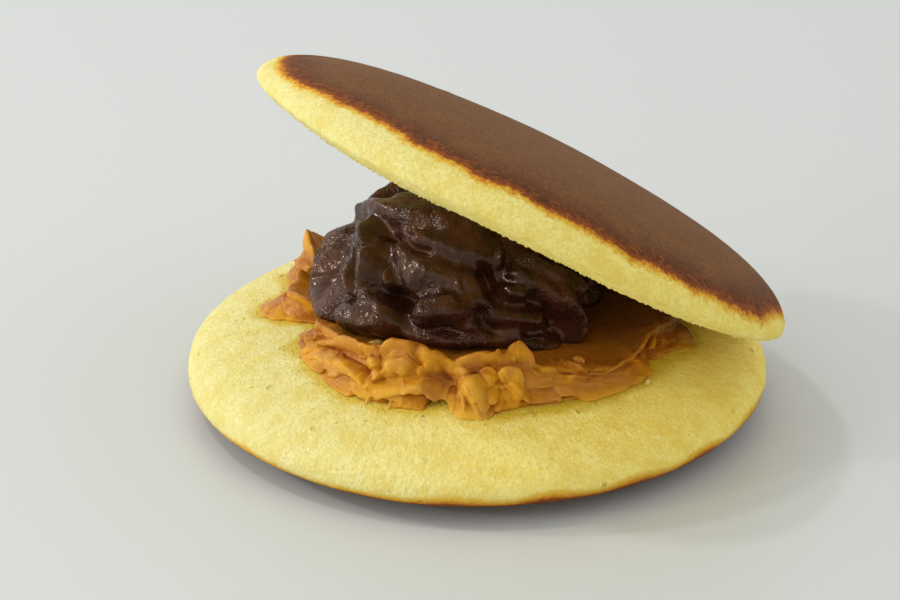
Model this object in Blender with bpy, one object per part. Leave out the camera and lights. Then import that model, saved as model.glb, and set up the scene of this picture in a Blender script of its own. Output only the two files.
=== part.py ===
"""A dorayaki, opened: two round sponge cakes with peanut butter and sweet red bean paste between them.

The lower cake lies with its browned pan side down. Peanut butter is spread over its crumb side as a
shallow dish with a torn rim, a scoop of bean paste sits in the dish, and the upper cake leans on the
scoop with its low edge on the lower cake. Metres, +Z up, +Y away from the open side, and the origin is
the middle of the flat spot that the lower cake rests on.
"""

import math
import random

import bmesh
import bpy
from mathutils import Quaternion, Vector
from mathutils.bvhtree import BVHTree

# Driving dimensions
MM = 0.001
CLEARANCE = 0.35 * MM  # between pieces that touch
SIDE_CLEARANCE = 0.8 * MM  # measured straight up or down, where the touching walls may be steep
BEYOND = 100 * MM  # above or below everything, where measuring rays start

# The lower cake, measured from its widest level
LOWER_RADIUS = 48.7 * MM
LOWER_CRUMB_RISE = 9.5 * MM
LOWER_PAN_DROP = 6.0 * MM
LOWER_FOOT_CUT = 0.6 * MM  # how far the pan side is pressed flat

# The upper cake, measured from its widest level
UPPER_RADIUS = 48.0 * MM
UPPER_PAN_RISE = 11.5 * MM
UPPER_CRUMB_DROP = 3.0 * MM
UPPER_TILT = math.radians(31.3)
UPPER_FALLS_TOWARDS = math.radians(32.1)  # counted from +X towards +Y
UPPER_CENTRE = Vector((6.6 * MM, -3.9 * MM, 36.6 * MM))

# How each rim waves up and down; "low" is where a trough lies, from the cake's own +X
LOWER_WAVE = {"height": 0.2 * MM, "count": 3, "low": math.radians(250)}
UPPER_WAVE = {"height": 0.45 * MM, "count": 4, "low": math.radians(193)}

# Swells that make a poured cake uneven: height and wavelength
RIM_SWELL = (0.45 * MM, 70 * MM)
RIM_RIPPLE = (0.2 * MM, 26 * MM)
TOP_SWELL = (0.22 * MM, 34 * MM)

CAKE_SEGMENTS = 56
CAKE_RINGS = 8  # on each side of the widest level

# The peanut butter
SPREAD_RADIUS = 33.5 * MM  # of its foot on the lower cake
SPREAD_FLOOR = 1.4 * MM  # thickness in the middle of the dish
SPREAD_RIM_HEIGHT = 4.0 * MM
SPREAD_RIM_LEAN = 4.2 * MM  # from the rim's crest out to the foot
SPREAD_DISH_POWER = 4  # how late the dish climbs from its floor to the crest
SPREAD_EDGE = 0.5 * MM  # thickness at the foot
SPREAD_STRATA = 0.9 * MM  # depth of the torn layers in its wall
SPREAD_TUCK = 0.1 * MM  # how far its underside stops short of the foot
SPREAD_SEGMENTS = 128

# Swells of the peanut butter: height and wavelength, and for the lean a share of it
RIM_WANDER = (0.9 * MM, 30 * MM)
RIM_RISE = (0.8 * MM, 22 * MM)
RIM_LEAN_SHARE = (0.3, 28 * MM)
WALL_CRAGS = (0.7 * MM, 9 * MM)

# Where the knife left the rim higher, wider, more sloping or torn away: angle and half width in
# degrees, then in millimetres how much higher, further out and more leaning
RIM_MARKS = {
    "right_flap": (-12, 7, 0.9, 2.6, -1.4),
    "right_dip": (-42, 20, -2.6, 0.0, -1.6),
    "front_peak": (-76, 4, 2.4, -0.6, 0.0),
    "front_bank": (-87, 11, 2.8, 0.4, 1.2),
    "front_tear": (-100, 4, -2.0, -2.0, 0.0),
    "left_bank": (-114, 17, 3.0, 0.0, 1.2),
    "left_front_crest": (-151, 13, -0.8, -2.2, 0.0),
    "left_notch": (190, 6, -3.6, -7.0, 0.0),
    "left_tongue": (172, 7, -1.0, 3.4, 0.0),
    "left_spike": (149, 5, 4.4, 4.6, 0.0),
}

# The bean paste
SCOOP_CENTRE = Vector((-2.2 * MM, 0.0 * MM, 17.5 * MM))
SCOOP_HALF = Vector((23.8 * MM, 19.4 * MM, 21.0 * MM))
SCOOP_SWELL = (0.7 * MM, 24 * MM)
CREASE_DEPTH = 1.6 * MM  # below the scoop's own surface
LUMP_BLEND = 0.2 * MM  # how softly lumps run into each other
LUMP_SUNK = 0.35  # of a lump's height that lies below the scoop's own surface
SCOOP_SUBDIVISIONS = 5

# Beans all over the scoop
BEAN_HALF_LENGTH = 6.0 * MM
BEAN_HALF_WIDTH = 3.9 * MM
BEAN_COUNT = 80

# The largest lumps and folds of the open side: azimuth and rise of the place, roll of the long axis
# (degrees), then half length and half width (mm)
LUMPS = {
    "lower_left": (-139, 7, -4, 6.2, 3.5),
    "lower_ridge": (-122, 12, -40, 8.0, 2.3),
    "middle_bean": (-99, 16, 8, 6.6, 4.0),
    "small_bean": (-87, 11, 10, 2.4, 1.7),
    "right_bean": (-72, 15, 12, 5.8, 3.0),
    "right_fold": (-56, 20, -35, 6.4, 2.8),
    "right_low": (-54, 8, 5, 4.6, 3.2),
    "right_end": (-38, 3, 75, 5.6, 3.6),
    "centre": (-116, 38, 20, 7.0, 5.4),
    "centre_fold": (-94, 43, -15, 7.4, 2.4),
    "top_ridge": (-126, 57, -15, 8.6, 3.2),
    "top": (-160, 66, 10, 6.4, 3.6),
    "upper_right": (-66, 34, -25, 7.0, 2.8),
    "left_fold": (-157, 38, 82, 6.6, 2.9),
    "left_crease": (-163, 26, 80, 6.0, 2.2),
    "left_shine": (-146, 22, 60, 4.2, 3.0),
    "far_left": (-172, 24, 68, 7.0, 3.4),
    "left_low": (-166, 4, 80, 5.0, 3.4),
}

SEED = 7
LOWER_SEED = 2596


def clear_scene():
    for old in list(bpy.data.objects):
        bpy.data.objects.remove(old)


def finish(name, colour, roughness):
    """A material of one colour and roughness."""
    material = bpy.data.materials.new(name)
    material.use_nodes = True
    shader = material.node_tree.nodes["Principled BSDF"]
    shader.inputs["Base Color"].default_value = (*colour, 1.0)
    shader.inputs["Roughness"].default_value = roughness
    shader.inputs["Metallic"].default_value = 0.0
    return material


def add_object(name, bm, material):
    """The mesh as a smooth-shaded object with this material."""
    bmesh.ops.recalc_face_normals(bm, faces=bm.faces)
    mesh = bpy.data.meshes.new(name)
    bm.to_mesh(mesh)
    bm.free()
    mesh.shade_smooth()
    mesh.materials.append(material)
    thing = bpy.data.objects.new(name, mesh)
    bpy.context.scene.collection.objects.link(thing)
    return thing


def surface_tree(thing):
    """The object's surface in world space, for casting rays at."""
    bpy.context.view_layer.update()
    corners = [thing.matrix_world @ v.co for v in thing.data.vertices]
    return BVHTree.FromPolygons(corners, [tuple(p.vertices) for p in thing.data.polygons])


def top_of(tree, x, y):
    """Height of the surface that is met from above at this place, or None."""
    hit = tree.ray_cast(Vector((x, y, BEYOND)), Vector((0, 0, -1)))[0]
    return None if hit is None else hit.z


def underside_of(tree, x, y):
    """Height of the surface that is met from below at this place, or None."""
    hit = tree.ray_cast(Vector((x, y, -BEYOND)), Vector((0, 0, 1)))[0]
    return None if hit is None else hit.z


def swell(point, wave, seed):
    """A smooth wave of this height and wavelength through space, of crossing sines in seeded directions."""
    height, wavelength = wave
    draw = random.Random(seed)
    total = 0.0
    waves = 5
    for _ in range(waves):
        way = Vector((draw.gauss(0, 1), draw.gauss(0, 1), draw.gauss(0, 1))).normalized()
        phase = draw.uniform(0, math.tau)
        total += math.sin(math.tau * way.dot(point) / wavelength + phase)
    return height * total / waves


# The two cakes


def lens_profile(radius, rise, drop, rise_power, drop_power):
    """Points (r, z) from the top pole out to the widest level and in to the bottom pole."""
    steps = [math.sin(math.pi / 2 * k / CAKE_RINGS) for k in range(CAKE_RINGS + 1)]
    upper = [(radius * s, rise * math.sqrt(1 - s**rise_power)) for s in steps]
    lower = [(radius * s, -drop * math.sqrt(1 - s**drop_power)) for s in reversed(steps[:-1])]
    return upper + lower


def cake_mesh(profile, wave, seed):
    """The profile spun round Z, with a waving rim and the slight unevenness of a poured cake."""
    bm = bmesh.new()
    points = [bm.verts.new((r, 0, z)) for r, z in profile]
    edges = [bm.edges.new(pair) for pair in zip(points, points[1:])]
    bmesh.ops.spin(
        bm,
        geom=points + edges,
        axis=(0, 0, 1),
        cent=(0, 0, 0),
        angle=math.tau,
        steps=CAKE_SEGMENTS,
        use_merge=True,
    )
    bmesh.ops.remove_doubles(bm, verts=bm.verts, dist=0.01 * MM)
    radius = max(r for r, _ in profile)
    for v in bm.verts:
        outward = math.hypot(v.co.x, v.co.y) / radius
        wobble = swell(v.co, RIM_SWELL, seed) + swell(v.co, RIM_RIPPLE, seed + 1)
        side = Vector((v.co.x, v.co.y, 0))
        v.co += side * (wobble * outward / radius)
        around = math.atan2(v.co.y, v.co.x) - wave["low"]
        v.co.z += swell(v.co, TOP_SWELL, seed + 2)
        v.co.z -= wave["height"] * math.cos(wave["count"] * around) * outward**2
    return bm


def make_lower_cake(material):
    profile = lens_profile(LOWER_RADIUS, LOWER_CRUMB_RISE, LOWER_PAN_DROP, 3.0, 4.0)
    bm = cake_mesh(profile, LOWER_WAVE, LOWER_SEED)
    widest_level = LOWER_PAN_DROP - LOWER_FOOT_CUT
    bmesh.ops.translate(bm, verts=bm.verts, vec=(0, 0, widest_level))
    below = [*bm.verts, *bm.edges, *bm.faces]
    cut = bmesh.ops.bisect_plane(bm, geom=below, plane_co=(0, 0, 0), plane_no=(0, 0, -1), clear_outer=True)
    rim = [e for e in cut["geom_cut"] if isinstance(e, bmesh.types.BMEdge)]
    bmesh.ops.contextual_create(bm, geom=rim)
    return add_object("lower_cake", bm, material)


def make_upper_cake(material):
    profile = lens_profile(UPPER_RADIUS, UPPER_PAN_RISE, UPPER_CRUMB_DROP, 2.4, 4.0)
    cake = add_object("upper_cake", cake_mesh(profile, UPPER_WAVE, SEED + 10), material)
    turned = Quaternion((0, 0, 1), UPPER_FALLS_TOWARDS) @ Quaternion((0, 1, 0), UPPER_TILT)
    cake.rotation_mode = "QUATERNION"
    cake.rotation_quaternion = turned
    cake.location = UPPER_CENTRE
    return cake


# The peanut butter


def rim_at(angle):
    """(foot radius, crest radius, crest height) of the peanut butter at this angle."""
    compass = Vector((math.cos(angle), math.sin(angle), 0)) * SPREAD_RADIUS
    further = swell(compass, RIM_WANDER, SEED + 20)
    higher = swell(compass, RIM_RISE, SEED + 21)
    lean = SPREAD_RIM_LEAN * (1 + swell(compass, RIM_LEAN_SHARE, SEED + 22))
    for place, half_width, up, out, leaning in RIM_MARKS.values():
        away = (math.degrees(angle) - place + 180) % 360 - 180
        strength = math.exp(-((away / half_width) ** 2)) * MM
        further += strength * out
        higher += strength * up
        lean += strength * leaning
    foot = SPREAD_RADIUS + further
    return foot, foot - lean, max(SPREAD_RIM_HEIGHT + higher, SPREAD_EDGE)


def strata(angle, down):
    """How far the torn layers stand out of the wall, from -1 to 1; down runs from crest to foot."""
    turns = 2.2 * down + 3.0 * angle / math.pi + 0.4 * math.sin(5 * angle + 1.0)
    return 4 * abs(turns % 1.0 - 0.5) - 1


def spread_rings():
    """Rings of (angle, radius, height over the cake) from the middle of the dish to the foot."""
    floor_steps = (0.35, 0.6, 0.76, 0.87, 0.94, 1.0)
    wall_steps = (0.14, 0.28, 0.43, 0.58, 0.72, 0.86, 1.0)
    angles = [math.tau * k / SPREAD_SEGMENTS for k in range(SPREAD_SEGMENTS)]
    rims = [rim_at(a) for a in angles]
    rings = []
    for s in floor_steps:
        climb = s**SPREAD_DISH_POWER
        rings.append([(a, crest * s, SPREAD_FLOOR + (high - SPREAD_FLOOR) * climb)
                      for a, (_, crest, high) in zip(angles, rims)])
    for s in wall_steps:
        ring = []
        for a, (foot, crest, high) in zip(angles, rims):
            spot = Vector((math.cos(a), math.sin(a), 0.25 * s)) * SPREAD_RADIUS
            relief = SPREAD_STRATA * strata(a, s) + swell(spot, WALL_CRAGS, SEED + 23)
            bulge = relief * math.sin(math.pi * min(s, 0.85))
            ring.append((a, crest + (foot - crest) * s**0.8 + bulge, high + (SPREAD_EDGE - high) * s))
        rings.append(ring)
    return rings


def make_spread(material, ground, ceiling):
    """A closed skin: the dish and the wall above, and the lower cake's own shape below."""
    bm = bmesh.new()

    def place(angle, radius, height):
        x = radius * math.cos(angle)
        y = radius * math.sin(angle)
        top = top_of(ground, x, y) + CLEARANCE + height
        lid = underside_of(ceiling, x, y)
        if lid is not None:
            top = min(top, lid - SIDE_CLEARANCE)
        return bm.verts.new((x, y, top))

    upper = [[place(*spot) for spot in ring] for ring in spread_rings()]
    foot = spread_rings()[-1]
    under_steps = (1.0, 0.7, 0.35)
    under = [[place(a, r * s - SPREAD_TUCK, 0.0) for a, r, _ in foot] for s in under_steps]
    rings = upper + under
    for inner, outer in zip(rings, rings[1:]):
        for k in range(SPREAD_SEGMENTS):
            n = (k + 1) % SPREAD_SEGMENTS
            bm.faces.new((inner[k], outer[k], outer[n], inner[n]))
    for ring, height in ((upper[0], SPREAD_FLOOR), (under[-1], 0.0)):
        pole = place(0.0, 0.0, height)
        for k in range(SPREAD_SEGMENTS):
            bm.faces.new((ring[k], ring[(k + 1) % SPREAD_SEGMENTS], pole))
    return add_object("peanut_butter", bm, material)


# The bean paste


def towards(azimuth, rise):
    """The direction with this azimuth from +X and this rise over the horizon."""
    flat = math.cos(rise)
    return Vector((flat * math.cos(azimuth), flat * math.sin(azimuth), math.sin(rise)))


def lump_at(way, roll, lean, half_length, half_width):
    """(direction, middle, turn, half lengths) of one lump half sunk into the scoop."""
    half = Vector((half_length, half_width, half_width))
    spot = Vector(a * b for a, b in zip(way, SCOOP_HALF)) - way * (LUMP_SUNK * half.z)
    lying = way.to_track_quat("Z", "Y") @ Quaternion((0, 0, 1), roll)
    return way, spot, lying @ Quaternion((0, 1, 0), lean), half


def lump_layout():
    """The named lumps, then beans by a seeded rule wherever those leave room."""
    lumps = []
    for azimuth, rise, roll, half_length, half_width in LUMPS.values():
        way = towards(math.radians(azimuth), math.radians(rise))
        lumps.append(lump_at(way, math.radians(roll), 0.0, half_length * MM, half_width * MM))
    named = list(lumps)
    draw = random.Random(SEED + 40)
    golden = math.pi * (3 - math.sqrt(5))
    for k in range(BEAN_COUNT):
        rise = math.asin(1 - 2 * (k + 0.5) / BEAN_COUNT)
        way = towards(golden * k + draw.uniform(-0.15, 0.15), rise)
        roll = draw.uniform(0, math.tau)
        lean = draw.uniform(-0.4, 0.4)
        grown = draw.uniform(0.75, 1.25)
        if all(way.angle(other[0]) * SCOOP_HALF.y > 0.75 * other[3].x for other in named):
            lumps.append(lump_at(way, roll, lean, grown * BEAN_HALF_LENGTH, grown * BEAN_HALF_WIDTH))
    return lumps


def ray_out_of(lump, way):
    """Distance from the scoop's middle to the far side of the lump along this way, or 0."""
    _, middle, turned, half = lump
    back = turned.inverted()
    run = Vector(a / b for a, b in zip(back @ way, half))
    start = Vector(a / b for a, b in zip(back @ middle, half))
    a, b, c = run.dot(run), -run.dot(start), start.dot(start) - 1
    inside = b * b - a * c
    return (-b + math.sqrt(inside)) / a if inside > 0 else 0.0


def soft_max(lengths):
    """The largest length, raised a little where others come near it."""
    top = max(lengths)
    return top + LUMP_BLEND * math.log(sum(math.exp((length - top) / LUMP_BLEND) for length in lengths))


def make_scoop(material, ground, ceiling):
    """A ball pushed out to the lumps on its surface, resting on the dish and under the upper cake."""
    bm = bmesh.new()
    bmesh.ops.create_icosphere(bm, subdivisions=SCOOP_SUBDIVISIONS, radius=1.0)
    lumps = lump_layout()
    for v in bm.verts:
        way = v.co.normalized()
        scaled = Vector(a / b for a, b in zip(way, SCOOP_HALF))
        plain = 1 / scaled.length
        plain += swell(way * plain, SCOOP_SWELL, SEED + 41) - CREASE_DEPTH
        near = [ray_out_of(lump, way) for lump in lumps if lump[0].dot(way) > 0.8]
        spot = SCOOP_CENTRE + way * soft_max([plain, *near])
        lid = underside_of(ceiling, spot.x, spot.y)
        if lid is not None:
            spot.z = min(spot.z, lid - SIDE_CLEARANCE)
        base = top_of(ground, spot.x, spot.y)
        if base is not None:
            spot.z = max(spot.z, base + SIDE_CLEARANCE)
        v.co = spot
    return add_object("bean_paste", bm, material)


def main():
    clear_scene()
    sponge = finish("sponge", (0.75, 0.62, 0.17), 0.85)
    paste = finish("peanut_butter", (0.52, 0.25, 0.045), 0.45)
    beans = finish("bean_paste", (0.035, 0.018, 0.012), 0.3)
    lower = make_lower_cake(sponge)
    upper = make_upper_cake(sponge)
    ceiling = surface_tree(upper)
    spread = make_spread(paste, surface_tree(lower), ceiling)
    make_scoop(beans, surface_tree(spread), ceiling)


main()
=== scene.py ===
import math
import random

import bmesh
import bpy
import numpy as np
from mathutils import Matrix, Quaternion, Vector
from mathutils.bvhtree import BVHTree


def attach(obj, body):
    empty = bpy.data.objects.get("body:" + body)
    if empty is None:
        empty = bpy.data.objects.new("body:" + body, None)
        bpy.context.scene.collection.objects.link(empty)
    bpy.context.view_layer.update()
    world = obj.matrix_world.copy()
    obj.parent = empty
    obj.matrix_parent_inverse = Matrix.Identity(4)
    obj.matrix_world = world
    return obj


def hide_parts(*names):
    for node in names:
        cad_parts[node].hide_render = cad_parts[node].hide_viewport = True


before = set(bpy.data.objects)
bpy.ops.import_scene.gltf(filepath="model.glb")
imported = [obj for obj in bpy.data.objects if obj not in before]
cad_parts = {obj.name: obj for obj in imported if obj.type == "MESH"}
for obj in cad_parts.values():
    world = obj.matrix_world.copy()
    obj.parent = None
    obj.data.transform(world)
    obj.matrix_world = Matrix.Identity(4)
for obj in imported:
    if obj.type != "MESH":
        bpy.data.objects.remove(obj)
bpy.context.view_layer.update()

mm = 0.001
beyond = 100 * mm  # above or below everything, where measuring rays start


# helpers for meshes and node trees

def linear(red, green, blue):
    # a screen colour, 0 to 255, as the linear colour that a shader takes
    def channel(value):
        value = value / 255
        return value / 12.92 if value <= 0.04045 else ((value + 0.055) / 1.055) ** 2.4
    return (channel(red), channel(green), channel(blue), 1.0)


def meshObject(name, points, faces):
    mesh = bpy.data.meshes.new(name)
    mesh.from_pydata(points.tolist(), [], faces)
    mesh.shade_smooth()
    thing = bpy.data.objects.new(name, mesh)
    bpy.context.scene.collection.objects.link(thing)
    return thing


def setAttribute(thing, name, values):
    attribute = thing.data.attributes.new(name, "FLOAT", "POINT")
    attribute.data.foreach_set("value", np.asarray(values, np.float32))


def surfaceTree(points, faces):
    return BVHTree.FromPolygons(points.tolist(), faces)


def topOf(tree, x, y):
    hit = tree.ray_cast(Vector((x, y, beyond)), Vector((0, 0, -1)))[0]
    return None if hit is None else hit.z


def undersideOf(tree, x, y):
    hit = tree.ray_cast(Vector((x, y, -beyond)), Vector((0, 0, 1)))[0]
    return None if hit is None else hit.z


def aroundFrom(angles, place):
    # how far round each angle lies from the place, in degrees
    return (np.degrees(angles) - place + 180) % 360 - 180


def swell(points, wave, seed):
    # a smooth wave through space, of crossing sines in seeded directions
    height, wavelength = wave
    draw = random.Random(seed)
    total = np.zeros(len(points))
    waves = 5
    for _ in range(waves):
        way = np.array([draw.gauss(0, 1), draw.gauss(0, 1), draw.gauss(0, 1)])
        phase = draw.uniform(0, math.tau)
        total += np.sin(math.tau * (points @ (way / np.linalg.norm(way))) / wavelength + phase)
    return height * total / waves


def addNode(tree, kind, inputs=None, **settings):
    node = tree.nodes.new(kind)
    for key, value in settings.items():
        setattr(node, key, value)
    for key, value in (inputs or {}).items():
        if isinstance(value, bpy.types.NodeSocket):
            tree.links.new(value, node.inputs[key])
        else:
            node.inputs[key].default_value = value
    return node


def painted(tree, name):
    # a value that the points carry as an attribute, read by a shader or by geometry nodes
    if tree.bl_idname == "GeometryNodeTree":
        return addNode(tree, "GeometryNodeInputNamedAttribute", {"Name": name}).outputs[0]
    return addNode(tree, "ShaderNodeAttribute", attribute_name=name).outputs["Fac"]


def maths(tree, operation, a, b=0.0):
    return addNode(tree, "ShaderNodeMath", {0: a, 1: b}, operation=operation).outputs[0]


def plus(tree, a, b):
    return maths(tree, "ADD", a, b)


def minus(tree, a, b):
    return maths(tree, "SUBTRACT", a, b)


def times(tree, a, b):
    return maths(tree, "MULTIPLY", a, b)


def mixColour(tree, factor, a, b, blend="MIX"):
    inputs = {0: factor, 6: a, 7: b}
    return addNode(tree, "ShaderNodeMix", inputs, data_type="RGBA", blend_type=blend).outputs[2]


def ramp(tree, value, low, high, toLow=0.0, toHigh=1.0):
    inputs = {"Value": value, "From Min": low, "From Max": high, "To Min": toLow, "To Max": toHigh}
    return addNode(tree, "ShaderNodeMapRange", inputs, interpolation_type="SMOOTHSTEP").outputs[0]


def layer(tree, below, colour, field, low, high, share=1.0):
    # a colour laid over what is below, where the field runs from low to high
    return mixColour(tree, ramp(tree, field, low, high, 0.0, share), below, colour)


def scaleFor(tree, size):
    # the scale of a texture whose patches are this wide in metres, given as a number or a socket
    return maths(tree, "DIVIDE", 1.0, size) if isinstance(size, bpy.types.NodeSocket) else 1 / size


def noise(tree, where, size, detail=2.0, roughness=0.5, distortion=0.0):
    inputs = {"Vector": where, "Scale": scaleFor(tree, size), "Detail": detail, "Roughness": roughness,
              "Distortion": distortion}
    return addNode(tree, "ShaderNodeTexNoise", inputs).outputs[0]


def pores(tree, where, size, edge, core):
    # holes in the middle of about a third of the cells: edge and core are the radii where one begins and
    # where it is deepest, as shares of a cell
    cells = addNode(tree, "ShaderNodeTexVoronoi", {"Vector": where, "Scale": scaleFor(tree, size)})
    picked = addNode(tree, "ShaderNodeSeparateXYZ", {0: cells.outputs["Color"]}).outputs[0]
    hole = ramp(tree, cells.outputs["Distance"], edge, core)
    return times(tree, hole, ramp(tree, picked, 0.6, 0.8))


def shifted(tree, where, x, y, z):
    offset = addNode(tree, "ShaderNodeVectorMath", {0: where, 1: (x, y, z)}, operation="ADD")
    return offset.outputs[0]


def newMaterial(name, constants):
    # constants are the values that the shader keeps everywhere
    material = bpy.data.materials.new(name)
    material.use_nodes = True
    tree = material.node_tree
    tree.nodes.clear()
    shader = addNode(tree, "ShaderNodeBsdfPrincipled", constants)
    addNode(tree, "ShaderNodeOutputMaterial", {0: shader.outputs[0]})
    return material, tree, shader, addNode(tree, "ShaderNodeTexCoord").outputs["Object"]


def addBump(tree, shader, heights):
    # heights is a list of (height socket, depth in metres), laid one over the other
    normal = None
    for height, depth in heights:
        inputs = {"Height": height, "Distance": depth, "Strength": 1.0}
        if normal is not None:
            inputs["Normal"] = normal
        normal = addNode(tree, "ShaderNodeBump", inputs).outputs[0]
    tree.links.new(normal, shader.inputs["Normal"])


def newGeometryTree(name, values):
    # a tree that takes the values and a material as named inputs
    tree = bpy.data.node_groups.new(name, "GeometryNodeTree")
    tree.interface.new_socket("Geometry", in_out="INPUT", socket_type="NodeSocketGeometry")
    for label, value in values.items():
        tree.interface.new_socket(label, in_out="INPUT", socket_type="NodeSocketFloat").default_value = value
    tree.interface.new_socket("Material", in_out="INPUT", socket_type="NodeSocketMaterial")
    tree.interface.new_socket("Geometry", in_out="OUTPUT", socket_type="NodeSocketGeometry")
    where = addNode(tree, "GeometryNodeInputPosition").outputs[0]
    return tree, addNode(tree, "NodeGroupInput").outputs, where


def swing(tree, field, depth):
    # a noise from 0 to 1 as a height that swings by the depth to either side
    return times(tree, minus(tree, field, 0.5), times(tree, depth, 2.0))


def pushedOut(tree, geometry, height):
    normal = addNode(tree, "GeometryNodeInputNormal").outputs[0]
    offset = addNode(tree, "ShaderNodeVectorMath", {0: normal, "Scale": height}, operation="SCALE").outputs[0]
    return addNode(tree, "GeometryNodeSetPosition", {"Geometry": geometry, "Offset": offset}).outputs[0]


def finishTree(tree, geometry, material):
    solid = addNode(tree, "GeometryNodeRealizeInstances", {0: geometry}).outputs[0]
    dressed = addNode(tree, "GeometryNodeSetMaterial", {0: solid, "Material": material}).outputs[0]
    addNode(tree, "NodeGroupOutput", {0: dressed})
    return tree


def runTree(thing, tree, values):
    # puts the tree on the object, sets its inputs by identifier and keeps the result as a plain mesh
    modifier = thing.modifiers.new(tree.name, "NODES")
    modifier.node_group = tree
    for item in tree.interface.items_tree:
        if item.in_out == "INPUT" and item.name in values:
            modifier[item.identifier] = values[item.name]
    graph = bpy.context.evaluated_depsgraph_get()
    result = bpy.data.meshes.new_from_object(thing.evaluated_get(graph), depsgraph=graph)
    thing.modifiers.clear()
    old = thing.data
    thing.data = result
    result.name = thing.name
    bpy.data.meshes.remove(old)
    return thing


# the two sponge cakes

lowerCake = {
    "radius": 48.7 * mm,
    "rise": 9.5 * mm,
    "drop": 6.0 * mm,
    "risePower": 3.0,
    "dropPower": 4.0,
    "centre": Vector((0, 0, 5.4 * mm)),
    "turned": Quaternion((1, 0, 0, 0)),
    "wave": (0.2 * mm, 3, math.radians(250)),  # height, waves round the rim, where the first low is
    "seed": 2596,
    "panSide": -1,  # which side was browned on the pan
    "borderRadius": 47.9 * mm,  # of the browned patch
    "borderShift": Vector((0.5 * mm, -0.4 * mm)),
    "reach": (165, 22, 0.0),  # where the browned patch runs out to the rim: angle, half width, how far
    "ragged": (1.3 * mm, 0.9 * mm),  # how far the browning strays, in patches and in specks
    "rings": (72, 34),  # above the widest level and below it
    "ringSpread": (0.8, 1.0),  # below 1, the rings gather towards the rim
}

upperCake = {
    "radius": 48.0 * mm,
    "rise": 11.5 * mm,
    "drop": 3.0 * mm,
    "risePower": 2.4,
    "dropPower": 4.0,
    "centre": Vector((6.6 * mm, -3.9 * mm, 36.6 * mm)),
    "turned": Quaternion((0, 0, 1), math.radians(32.1)) @ Quaternion((0, 1, 0), math.radians(31.3)),
    "wave": (0.45 * mm, 4, math.radians(193)),
    "seed": 17,
    "panSide": 1,
    "borderRadius": 44.5 * mm,
    "borderShift": Vector((1.5 * mm, -1.2 * mm)),
    "reach": (162, 22, 4.1 * mm),
    "ragged": (3.2 * mm, 2.8 * mm),
    "rings": (46, 64),
    "ringSpread": (1.0, 0.85),
}

cakeMesh = {
    "segments": 640,
    "rimSwell": (0.45 * mm, 70 * mm),
    "rimRipple": (0.2 * mm, 26 * mm),
    "topSwell": (0.22 * mm, 34 * mm),
    "borderWander": (0.9 * mm, 13 * mm),
}


def gridFaces(rings, segments):
    # quads between neighbouring rings, with a fan round the pole before the first and after the last
    faces = []
    for k in range(rings - 1):
        for j in range(segments):
            n = (j + 1) % segments
            a = 1 + k * segments
            b = a + segments
            faces.append((a + j, b + j, b + n, a + n))
    last = 1 + (rings - 1) * segments
    pole = 1 + rings * segments
    for j in range(segments):
        n = (j + 1) % segments
        faces.append((0, 1 + j, 1 + n))
        faces.append((pole, last + n, last + j))
    return faces


def cakeSurface(cake):
    # points in the cake's own frame, and how far each lies inside the border of the browned patch
    above, below = cake["rings"]
    spreadAbove, spreadBelow = cake["ringSpread"]
    steps = np.sin(np.pi / 2 * (np.arange(above + 1) / above) ** spreadAbove)
    stepsBelow = np.sin(np.pi / 2 * (np.arange(below + 1) / below) ** spreadBelow)
    heights = cake["rise"] * np.sqrt(1 - steps ** cake["risePower"])
    depths = -cake["drop"] * np.sqrt(1 - stepsBelow ** cake["dropPower"])
    radii = np.concatenate([steps, stepsBelow[-2::-1]]) * cake["radius"]
    levels = np.concatenate([heights, depths[-2::-1]])
    along = np.concatenate([[0], np.cumsum(np.hypot(np.diff(radii), np.diff(levels)))])
    if cake["panSide"] < 0:
        along = along[-1] - along
    angles = math.tau * np.arange(cakeMesh["segments"]) / cakeMesh["segments"]
    compass = np.stack([np.cos(angles), np.sin(angles), np.zeros_like(angles)], 1)
    rings = radii[1:-1, None, None] * compass[None]
    rings[:, :, 2] = levels[1:-1, None]
    poles = np.array([[[0, 0, levels[0]]], [[0, 0, levels[-1]]]])
    points = np.concatenate([poles[0], rings.reshape(-1, 3), poles[1]])
    outward = np.hypot(points[:, 0], points[:, 1]) / cake["radius"]
    seed = cake["seed"]
    wobble = swell(points, cakeMesh["rimSwell"], seed) + swell(points, cakeMesh["rimRipple"], seed + 1)
    points[:, :2] *= 1 + (wobble * outward / cake["radius"])[:, None]
    height, waves, low = cake["wave"]
    around = np.arctan2(points[:, 1], points[:, 0]) - low
    points[:, 2] += swell(points, cakeMesh["topSwell"], seed + 2)
    points[:, 2] -= height * np.cos(waves * around) * outward ** 2
    half = slice(0, above + 1) if cake["panSide"] > 0 else slice(above, None)
    order = np.argsort(radii[half])
    borderAlong = np.interp(cake["borderRadius"], radii[half][order], along[half][order])
    shift = compass[:, 0] * cake["borderShift"].x + compass[:, 1] * cake["borderShift"].y
    wander = swell(compass * cake["radius"], cakeMesh["borderWander"], seed + 3)
    place, halfWidth, further = cake["reach"]
    further = further * np.exp(-(aroundFrom(angles, place) / halfWidth) ** 2)
    border = borderAlong + 1.15 * shift + wander + further
    inside = border[None] - along[1:-1, None]
    inside = np.concatenate([[border.mean() - along[0]], inside.reshape(-1), [border.mean() - along[-1]]])
    return points, inside


def cakeFaces(cake):
    return gridFaces(sum(cake["rings"]) - 1, cakeMesh["segments"])


def placed(cake, points):
    turn = np.array(cake["turned"].to_matrix())
    return points @ turn.T + np.array(cake["centre"])


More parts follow.
